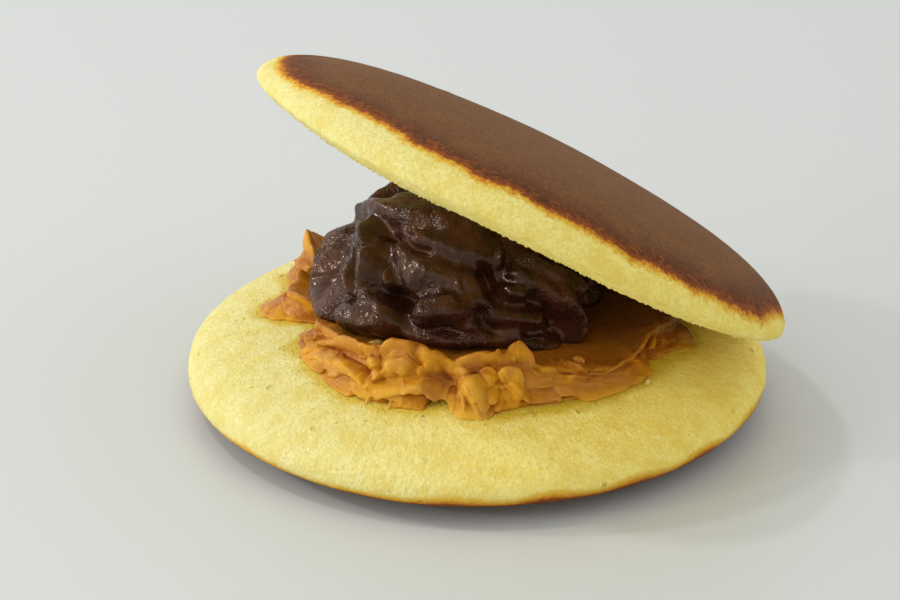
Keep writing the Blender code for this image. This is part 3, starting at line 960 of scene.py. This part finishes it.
def spreadMaterial():
    material, tree, shader, where = newMaterial("peanutButterPaste", spreadGloss)
    look = spreadLook
    relief, dry, wall, closed = (painted(tree, label) for label in ("relief", "dry", "wall", "closed"))
    cloud = noise(tree, where, look["cloudSize"], 3.0, 0.6)
    streak = noise(tree, shifted(tree, where, 0.5, 0, 0), look["streakSize"], 4.0, 0.65, 0.6)
    colour = layer(tree, look["butter"], look["deep"], cloud, 0.38, 0.66)
    # painted shade: darker where the wall is sunk, by its relief
    colour = mixColour(tree, ramp(tree, relief, -1.0 * mm, 0.4 * mm, 0.9, 0.0), colour, look["hollow"])
    colour = layer(tree, colour, look["pale"], streak, 0.5, 0.72, 0.5)
    # painted light: paler on the raised lumps and the lip along the crest, by their relief
    colour = layer(tree, colour, look["pale"], relief, 0.5 * mm, 1.8 * mm, 0.55)
    flaky = ramp(tree, noise(tree, where, look["flakeSize"], 3.0, 0.6), 0.35, 0.6)
    dried = times(tree, dry, plus(tree, 0.45, times(tree, flaky, 0.4)))
    colour = mixColour(tree, dried, colour, look["skin"])
    patch = noise(tree, shifted(tree, where, 0.4, 0.4, 0), look["patchSize"], 3.0, 0.6)
    colour = layer(tree, colour, look["skin"], patch, 0.48, 0.66, 0.55)
    colour = layer(tree, colour, look["gold"], patch, 0.46, 0.3, 0.6)
    # painted shade: the floor of the dish, inside the rim, is darker
    colour = mixColour(tree, ramp(tree, wall, 0.0, 0.06, 0.75, 0.0), colour, look["floor"])
    # painted shade, with oil: dark under the upper cake and on the dark side of the floor
    colour = mixColour(tree, times(tree, closed, 0.9), colour, look["shaded"])
    speck = noise(tree, shifted(tree, where, 0, 0.3, 0), look["speckSize"], 2.0, 0.6)
    colour = layer(tree, colour, look["skin"], speck, 0.68, 0.76, 0.4)
    tree.links.new(colour, shader.inputs["Base Color"])
    gloss = ramp(tree, streak, 0.3, 0.7, *look["roughness"])
    tree.links.new(plus(tree, gloss, times(tree, dry, 0.2)), shader.inputs["Roughness"])
    fine = noise(tree, where, look["fineSize"], 3.0, 0.6)
    addBump(tree, shader, [(streak, 0.12 * mm), (fine, 0.04 * mm)])
    return material


# the bean paste

scoop = {
    "centre": Vector((-2.2 * mm, 0.0, 17.5 * mm)),
    "half": Vector((23.8 * mm, 19.4 * mm, 21.0 * mm)),
    "swell": (0.4 * mm, 24 * mm),
    "creaseDepth": 1.5 * mm,
    "blend": 0.2 * mm,
    "softness": 1.6,
    "smoothing": 9,  # passes, which round the creases between the lumps
    "sunkEnds": 0.07,  # how much nearer the middle a stroke begins and ends than it runs
    "waver": (6 * mm, 0.3 * mm),  # how the strokes' edges stray: size and depth
    "lumpiness": (4 * mm, 0.14 * mm),
    "beanCount": 70,
    "clearOf": 14,  # degrees that the unnamed beans keep from the named lumps
    "seed": 7,
    "segments": 560,
    "rows": 172,
    "gathered": 0.28,  # how much the rows gather round the middle height
    "bedGap": 0.2 * mm,  # how far it presses into the peanut butter
    "lidGap": 0.3 * mm,  # and into the upper cake
}

# the lumps of the open side: height and width left and right of the line, in mm, then places of azimuth and
# rise in degrees
lumps = {
    "topRidge": (3.4, 2.4, 2.2, (159, 44), (151, 51), (143, 57)),
    "topDark": (2.8, 4.0, 3.1, (-177, 61), (-114, 65), (-81, 54)),
    "slab": (4.0, 3.0, 2.2, (163, 38), (178, 50), (-157, 56), (-135, 58), (-113, 60), (-99, 57)),
    "leafTop": (4.4, 3.2, 3.4, (-165, 45), (-146, 39), (-139, 31), (-137, 24)),
    "thinFold": (2.0, 1.5, 1.6, (-177, 37), (-161, 34), (-153, 27)),
    "shoulder": (4.1, 3.3, 4.2, (172, 31), (172, 22), (176, 15), (180, 6), (-178, 0)),
    "leftBulb": (3.5, 1.8, 2.0, (-157, 25), (-148, 21), (-143, 16)),
    "leftLow": (4.2, 3.3, 3.5, (-179, 4), (-167, 2), (-156, 0)),
    "lowerLeft": (5.4, 4.6, 4.2, (-142, 6), (-132, 8), (-124, 8)),
    "strand": (3.9, 1.2, 1.2, (-141, 20), (-136, 18), (-128, 18), (-122, 14), (-117, 11), (-113, 8)),
    "strandFoot": (3.5, 2.6, 2.2, (-117, 8), (-106, 5), (-96, 4), (-80, 4), (-63, 1)),
    "midKnob": (3.4, 1.7, 1.3, (-129, 32), (-126, 28), (-123, 25)),
    "centreTop": (2.6, 4.4, 3.8, (-127, 46), (-120, 38), (-113, 29)),
    "centreMid": (3.2, 4.8, 4.2, (-114, 37), (-102, 33), (-87, 29)),
    "browA": (3.6, 2.2, 1.7, (-124, 49), (-114, 49), (-104, 47), (-93, 44), (-85, 42), (-76, 38)),
    "behindBrow": (3.0, 3.3, 2.8, (-105, 52), (-87, 48), (-76, 44)),
    "middleBean": (6.4, 3.8, 3.6, (-106, 16), (-99, 19), (-92, 18)),
    "redBean": (3.2, 2.4, 2.3, (-95, 26), (-86, 23), (-78, 21)),
    "smallBean": (4.0, 1.7, 1.7, (-91, 11), (-85, 11)),
    "lowRight": (3.2, 2.0, 1.8, (-76, 8), (-68, 5), (-56, 3)),
    "rightSlab": (3.6, 3.0, 3.0, (-78, 14), (-69, 13), (-58, 10)),
    "glintFold": (3.0, 1.1, 1.1, (-69, 48), (-70, 43), (-73, 38)),
    "pinkBean": (3.6, 1.4, 1.4, (-67, 34), (-63, 33)),
    "rightRidge": (3.6, 2.9, 2.4, (-64, 30), (-55, 24), (-49, 17)),
    "rightFace": (3.8, 1.1, 2.9, (-73, 26), (-64, 24)),
    "rightFold": (4.6, 2.6, 2.2, (-45, 21), (-44, 13), (-41, 4), (-42, -5)),
    "rightFoot": (3.4, 2.0, 1.7, (-68, 0), (-58, -3), (-48, -4)),
    "upperRight": (3.0, 3.5, 3.1, (-57, 37), (-45, 27), (-32, 17)),
}

# what lies over those or sinks into them
folds = {
    "leafRim": (0.35, 1.0, 0.9, (173, 36), (162, 39), (-172, 49), (-152, 49), (-141, 44), (-134, 39),
        (-131, 32)),
    "leafCrease": (-1.0, 0.7, 0.5, (-154, 35), (-144, 37), (-139, 40)),
    "underSlab": (-1.2, 0.8, 1.9, (-145, 47), (-131, 48), (-118, 45), (-109, 44)),
    "shoulderLineA": (0.44, 0.5, 0.6, (-176, 37), (170, 27), (173, 21)),
    "shoulderLineB": (0.44, 0.5, 0.6, (-179, 30), (174, 19), (177, 13)),
    "shoulderCrease": (-0.75, 0.6, 0.6, (-170, 22), (-175, 14), (179, 8)),
    "bulbCrease": (-1.25, 0.8, 0.8, (-159, 23), (-158, 18), (-148, 15), (-138, 15)),
    "lowGlint": (0.56, 0.5, 0.5, (-164, 12), (-155, 11), (-148, 10)),
    "beanCrease": (-0.75, 0.6, 0.6, (-146, 11), (-146, 6), (-150, -2)),
    "hollow": (-2.6, 2.0, 2.0, (-123, 22), (-117, 20), (-112, 19)),
    "hollowTail": (-1.25, 0.7, 0.8, (-143, 14), (-137, 15)),
    "middleEdge": (0.7, 0.5, 0.7, (-110, 18), (-105, 23), (-96, 24), (-90, 21)),
    "middleCrease": (-0.62, 0.6, 0.4, (-112, 21), (-107, 23), (-101, 26)),
    "redBit": (0.62, 0.7, 0.7, (-93, 30), (-91, 26)),
    "rightHollow": (-2.0, 2.2, 2.1, (-81, 35), (-78, 29), (-76, 22)),
    "glintLine": (0.44, 0.4, 0.5, (-73, 27), (-68, 27), (-64, 26)),
    "footCrease": (-0.9, 0.8, 0.8, (-68, 7), (-65, 3), (-57, 3)),
    "foldCrease": (-1.12, 0.7, 0.8, (-54, 18), (-54, 12), (-51, -1)),
    "rightEnd": (-5.25, 5.5, 6.5, (-11, 6), (-16, 0), (-9, -16)),
}


def towards(azimuth, rise):
    # a way out from the middle, by two angles in degrees
    azimuth, rise = math.radians(azimuth), math.radians(rise)
    return Vector((math.cos(rise) * math.cos(azimuth), math.cos(rise) * math.sin(azimuth), math.sin(rise)))


def scoopStrokes(table):
    half = np.array(scoop["half"])
    return strokesFrom(table, lambda azimuth, rise: np.array(towards(azimuth, rise)) * half,
                       lambda line, ends: line * (1 - scoop["sunkEnds"] * ends))


def hiddenStrokes():
    # beans by a seeded rule over the sides that no named lump reaches
    taken = [towards(*place) for height, left, right, *places in lumps.values() for place in places]
    draw = random.Random(scoop["seed"] + 40)
    golden = math.pi * (3 - math.sqrt(5))
    for k in range(scoop["beanCount"]):
        rise = math.asin(1 - 2 * (k + 0.5) / scoop["beanCount"])
        azimuth = math.degrees(golden * k + draw.uniform(-0.15, 0.15))
        turn = draw.uniform(0, math.tau)
        length, width = draw.uniform(4, 11), draw.uniform(1.8, 3.2)
        east, north = length * math.cos(turn) / max(math.cos(rise), 0.3), length * math.sin(turn)
        rise = math.degrees(rise)
        if all(towards(azimuth, rise).angle(other) > math.radians(scoop["clearOf"]) for other in taken):
            height = draw.uniform(1.3, 2.2)
            yield height, width, width, (azimuth - east, rise), (azimuth + east, rise + north)


def scoopDistances(ways):
    # how far the paste reaches along each way from its middle
    plain = 1 / np.linalg.norm(ways / np.array(scoop["half"]), axis=1)
    spots = ways * plain[:, None]
    looked = warped(spots, *scoop["waver"], scoop["seed"] + 44)
    raised = scoopStrokes([*lumps.values(), *hiddenStrokes()])
    lift = sculpted(looked, ways, raised, [], scoop["blend"], scoop["softness"])
    grid = lift[1:-1].reshape(scoop["rows"], scoop["segments"])
    for _ in range(scoop["smoothing"]):
        grid = (np.roll(grid, 1, 1) + 2 * grid + np.roll(grid, -1, 1)) / 4
        held = np.vstack([grid[:1], grid, grid[-1:]])
        grid = (held[:-2] + 2 * grid + held[2:]) / 4
    lift[1:-1] = grid.reshape(-1)
    lift += sculpted(looked, ways, [], scoopStrokes(folds.values()), scoop["blend"])
    plain += swell(spots, scoop["swell"], scoop["seed"] + 41)
    plain += rough(spots, *scoop["lumpiness"], scoop["seed"] + 50)
    return plain - scoop["creaseDepth"] + lift


def makeScoop(ground, ceiling):
    # rows of points from the top pole down
    rows = np.linspace(-1, 1, scoop["rows"] + 2)
    rises = np.pi / 2 * ((1 - scoop["gathered"]) * rows + scoop["gathered"] * rows ** 5)
    rises = rises[-2:0:-1, None]
    turns = math.tau * np.arange(scoop["segments"])[None] / scoop["segments"]
    level = np.sin(rises) + 0 * turns
    ways = np.stack([np.cos(rises) * np.cos(turns), np.cos(rises) * np.sin(turns), level], 2)
    ways = np.concatenate([[(0, 0, 1)], ways.reshape(-1, 3), [(0, 0, -1)]])
    points = np.array(scoop["centre"]) + ways * scoopDistances(ways)[:, None]
    for point in points:
        lid = undersideOf(ceiling, point[0], point[1])
        if lid is not None:
            point[2] = min(point[2], lid + scoop["lidGap"])
        base = topOf(ground, point[0], point[1])
        if base is not None:
            point[2] = max(point[2], base - scoop["bedGap"])
    return meshObject("beanPaste", points, gridFaces(scoop["rows"], scoop["segments"]))


beanRelief = {
    "Wrinkle size": 3.4 * mm,
    "Wrinkle depth": 0.14 * mm,
    "Fine size": 1.4 * mm,
    "Fine depth": 0.03 * mm,
}


def beanTree():
    # wrinkles the skin of the paste with sharp little ridges
    tree, given, where = newGeometryTree("beanRelief", beanRelief)
    height = 0.0
    for label in ("Wrinkle", "Fine"):
        wave = noise(tree, where, given[label + " size"], 1.0, 0.5, 1.0)
        ridge = maths(tree, "ABSOLUTE", minus(tree, times(tree, wave, 2.0), 1.0))
        ridge = times(tree, minus(tree, 0.25, ridge), 2.0)
        height = plus(tree, height, times(tree, ridge, given[label + " depth"]))
    return finishTree(tree, pushedOut(tree, given["Geometry"], height), given["Material"])


beanLook = {
    "dark": linear(42, 21, 14),
    "brown": linear(72, 37, 24),
    "red": linear(108, 66, 50),
    "roughness": (0.09, 0.22),
    "cloudSize": 6 * mm,
    "streakSize": 2.6 * mm,
    "fleckSize": 3.6 * mm,
    "grainSize": 0.5 * mm,
    "foldSize": 1.5 * mm,
}

beanGloss = {
    "Specular IOR Level": 0.5,
    "Specular Tint": linear(255, 220, 190),
    "Subsurface Weight": 0.15,
    "Subsurface Radius": (1.0, 0.3, 0.15),
    "Subsurface Scale": 1.5 * mm,
}


def beanMaterial():
    material, tree, shader, where = newMaterial("beanPasteSkin", beanGloss)
    look = beanLook
    cloud = noise(tree, where, look["cloudSize"], 3.0, 0.6)
    streak = noise(tree, shifted(tree, where, 0, 0.5, 0), look["streakSize"], 3.0, 0.6, 0.8)
    fleck = noise(tree, shifted(tree, where, 0.3, 0, 0.2), look["fleckSize"], 2.0, 0.5)
    colour = layer(tree, look["dark"], look["brown"], cloud, 0.38, 0.66)
    colour = layer(tree, colour, look["red"], fleck, 0.7, 0.78, 0.55)
    tree.links.new(colour, shader.inputs["Base Color"])
    tree.links.new(ramp(tree, streak, 0.3, 0.7, *look["roughness"]), shader.inputs["Roughness"])
    grains = noise(tree, where, look["grainSize"], 1.0, 0.5)
    patches = noise(tree, shifted(tree, where, 0.8, 0, 0), look["cloudSize"], 1.0)
    patches = ramp(tree, patches, 0.42, 0.6, 0.1, 1.0)
    folding = noise(tree, shifted(tree, where, 0, 0, 0.6), look["foldSize"], 2.0, 0.5, 0.6)
    addBump(tree, shader, [(folding, 0.12 * mm), (times(tree, grains, patches), 0.32 * mm)])
    return material


# how the fillings mark the cakes: oil that soaks in and crumbs that stand up

marks = {
    "oilRun": 3.2 * mm,  # how far the oil runs out from the foot of the peanut butter
    "oilTouch": 1.2 * mm,  # and up from the bean paste
    "touchReach": 4 * mm,
    "sideFrom": -8 * mm,  # the upper cake's side and underside begin so far from its browning
    "fewCrumbs": 0.01,
    "manyCrumbs": 0.15,
    "footCrumbs": (0.8 * mm, 2.6 * mm),  # beyond the foot: middle and half width of the crumbly zone
    "edgeCrumbs": (-13.2 * mm, 2.2 * mm),  # the same along the upper cake's lower edge
}


def lowerMarks(points, inside):
    beyondFoot = np.hypot(points[:, 0], points[:, 1]) - rimAt(np.arctan2(points[:, 1], points[:, 0]))[0]
    oil = np.exp(-(np.maximum(beyondFoot, 0) / marks["oilRun"]) ** 2)
    middle, halfWidth = marks["footCrumbs"]
    near = np.exp(-((beyondFoot - middle) / halfWidth) ** 2) * (beyondFoot > 0)
    onTop = points[:, 2] > lowerCake["centre"].z
    return {"oil": oil * onTop, "crumbly": (marks["fewCrumbs"] + marks["manyCrumbs"] * near) * onTop}


def upperMarks(points, inside, paste):
    oil = np.zeros(len(points))
    for k in np.nonzero(inside < marks["sideFrom"])[0]:
        near = paste.find_nearest(Vector(points[k]), marks["touchReach"])[3]
        if near is not None:
            oil[k] = math.exp(-(near / marks["oilTouch"]) ** 2)
    middle, halfWidth = marks["edgeCrumbs"]
    return {"oil": oil, "crumbly": np.exp(-((inside - middle) / halfWidth) ** 2)}


# bits of peanut in the butter and a crumb on the cake below: where in x and y, size along and across and
# height, all in mm, then the turn in degrees and the colour
bits = {
    "peanutLeft": (-16.7, -17.7, 1.5, 0.8, 0.7, 15, (222, 184, 84)),
    "peanutRight": (16.5, -20.4, 1.5, 0.9, 0.8, -35, (218, 150, 52)),
    "peanutSpeck": (1.0, -18.4, 0.35, 0.3, 0.2, 0, (110, 62, 20)),
    "crumbRight": (27.7, -22.5, 0.9, 0.6, 0.7, 60, (232, 208, 122)),
}


def bitMaterial():
    material, tree, shader, where = newMaterial("bitSkin", {"Roughness": 0.5})
    tint = addNode(tree, "ShaderNodeAttribute", attribute_name="tint").outputs["Color"]
    grain = noise(tree, where, 0.5 * mm, 3.0, 0.6)
    shade = mixColour(tree, ramp(tree, grain, 0.3, 0.7), (0.72, 0.66, 0.55, 1.0), (1.15, 1.15, 1.2, 1.0))
    tree.links.new(mixColour(tree, 1.0, tint, shade, "MULTIPLY"), shader.inputs["Base Color"])
    addBump(tree, shader, [(grain, 0.1 * mm)])
    return material


def makeBits(surfaces):
    # knobbly bits that sit halfway into whichever surface lies highest there
    points, faces, tints = [], [], []
    for k, (x, y, along, across, height, turn, colour) in enumerate(bits.values()):
        ball = bmesh.new()
        bmesh.ops.create_icosphere(ball, subdivisions=4, radius=1)
        shape = np.array([vertex.co for vertex in ball.verts])
        shape *= 1 + rough(shape, 1.6, 0.22, 200 + k)[:, None]
        shape = shape * np.array([along, across, height]) * mm * 0.75
        place = Vector((x * mm, y * mm, max(topOf(surface, x * mm, y * mm) or 0 for surface in surfaces)))
        turned = np.array(Quaternion((0, 0, 1), math.radians(turn)).to_matrix())
        faces += [[len(points) + vertex.index for vertex in face.verts] for face in ball.faces]
        points += (shape @ turned.T + np.array(place)).tolist()
        tints += [linear(*colour)] * len(shape)
        ball.free()
    thing = meshObject("looseBits", np.array(points), faces)
    attribute = thing.data.attributes.new("tint", "FLOAT_COLOR", "POINT")
    attribute.data.foreach_set("color", np.array(tints, np.float32).reshape(-1))
    thing.data.materials.append(bitMaterial())
    return thing


# camera, light and floor

view = {
    "rise": math.radians(26.5),
    "distance": 600 * mm,
    "level": 5.4 * mm,  # of the lower cake's widest ring, which the camera looks past
    "pixelsPerMetre": 5900,  # at that ring's middle
    "pixelsWide": 900,
    "aside": -28,  # pixels from that middle to the middle of the frame, to the right and up
    "above": 61.8,
}


def aimed(name, data, place, aim):
    thing = bpy.data.objects.new(name, data)
    thing.location = place
    thing.rotation_mode = "QUATERNION"
    thing.rotation_quaternion = (aim - place).to_track_quat("-Z", "Y")
    bpy.context.scene.collection.objects.link(thing)
    return thing


def makeCamera():
    rise = view["rise"]
    place = Vector((0, -math.cos(rise) * view["distance"], view["level"] + math.sin(rise) * view["distance"]))
    up = view["above"] / view["pixelsPerMetre"]
    aside = view["aside"] / view["pixelsPerMetre"]
    aim = Vector((aside, up * math.sin(rise), view["level"] + up * math.cos(rise)))
    data = bpy.data.cameras.new("camera")
    data.sensor_width = 36
    data.lens = data.sensor_width * view["pixelsPerMetre"] * view["distance"] / view["pixelsWide"]
    data.clip_start = 0.01
    bpy.context.scene.camera = aimed("camera", data, place, aim)


# each glow is a soft patch of the sky: azimuth and rise in degrees, tightness and brightness
glows = {
    "leftFront": (-130, 10, 3, 1.0),
    "left": (180, 10, 3, 0.72),
    "leftWindow": (185, 28, 16, 0.5),
    "leftBack": (135, 30, 3, 0.60),
    "back": (90, 20, 3, 0.66),
    "right": (-10, 40, 3, 1.1),
    "front": (-65, 30, 3, 0.28),
}

# small bright windows that glint in the pastes: azimuth and rise in degrees, size, power in watts
windows = {
    "leftPane": (174, 27, 60 * mm, 1.3),
    "frontPane": (-156, 20, 60 * mm, 0.6),
    "topPane": (-178, 66, 60 * mm, 0.7),
}

studio = {
    "windowDistance": 800 * mm,
    "windowAim": Vector((0, 0, 20 * mm)),
    "floorHalf": 3.0,  # metres from the middle to a side
    "floor": linear(209, 212, 208),
}


def makeSky():
    world = bpy.data.worlds.new("studio")
    world.use_nodes = True
    tree = world.node_tree
    way = addNode(tree, "ShaderNodeTexCoord").outputs["Generated"]
    total = 0.0
    for azimuth, rise, tightness, brightness in glows.values():
        inputs = {0: way, 1: towards(azimuth, rise)}
        facing = addNode(tree, "ShaderNodeVectorMath", inputs, operation="DOT_PRODUCT").outputs["Value"]
        glow = maths(tree, "POWER", maths(tree, "MAXIMUM", facing, 0.0), tightness)
        total = plus(tree, total, times(tree, glow, brightness))
    sky = tree.nodes["Background"]
    sky.inputs["Color"].default_value = (1.0, 1.0, 1.0, 1.0)
    tree.links.new(total, sky.inputs["Strength"])
    bpy.context.scene.world = world


def makeStudio():
    makeSky()
    for name, (azimuth, rise, size, watts) in windows.items():
        data = bpy.data.lights.new(name, "AREA")
        data.size = size
        data.energy = watts
        aimed(name, data, towards(azimuth, rise) * studio["windowDistance"], studio["windowAim"])
    bpy.context.scene.view_settings.view_transform = "Standard"
    corners = np.array([(-1, -1, 0), (1, -1, 0), (1, 1, 0), (-1, 1, 0)]) * studio["floorHalf"]
    floor = meshObject("floor", corners, [(0, 1, 2, 3)])
    paint = newMaterial("floorPaint", {"Base Color": studio["floor"], "Roughness": 0.5})[0]
    floor.data.materials.append(paint)


def main():
    makeCamera()
    makeStudio()
    print("camera and studio done")

    ground, ceiling = (surfaceTree(placed(cake, cakeSurface(cake)[0]), cakeFaces(cake))
                       for cake in (lowerCake, upperCake))
    butter = makeSpread(ground, ceiling)
    dish = BVHTree.FromObject(butter, bpy.context.evaluated_depsgraph_get())
    runTree(butter, spreadTree(), {**spreadRelief, "Material": spreadMaterial()})
    print("peanut butter done")

    beans = makeScoop(dish, ceiling)
    paste = BVHTree.FromObject(beans, bpy.context.evaluated_depsgraph_get())
    runTree(beans, beanTree(), {**beanRelief, "Material": beanMaterial()})
    print("bean paste done")

    lower = makeCake("lowerCake", lowerCake, lowerMarks)
    upper = makeCake("upperCake", upperCake, lambda points, inside: upperMarks(points, inside, paste))
    print("cakes done")

    looseBits = makeBits((ground, dish))
    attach(looseBits, "root")
    print("bits done")

    for piece, node, slot in (
            (lower, "lower_cake", "sponge"), (upper, "upper_cake", "crust"),
            (butter, "peanut_butter", "peanut_butter"), (beans, "bean_paste", "bean_paste")):
        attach(piece, "root")
        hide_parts(node)


main()
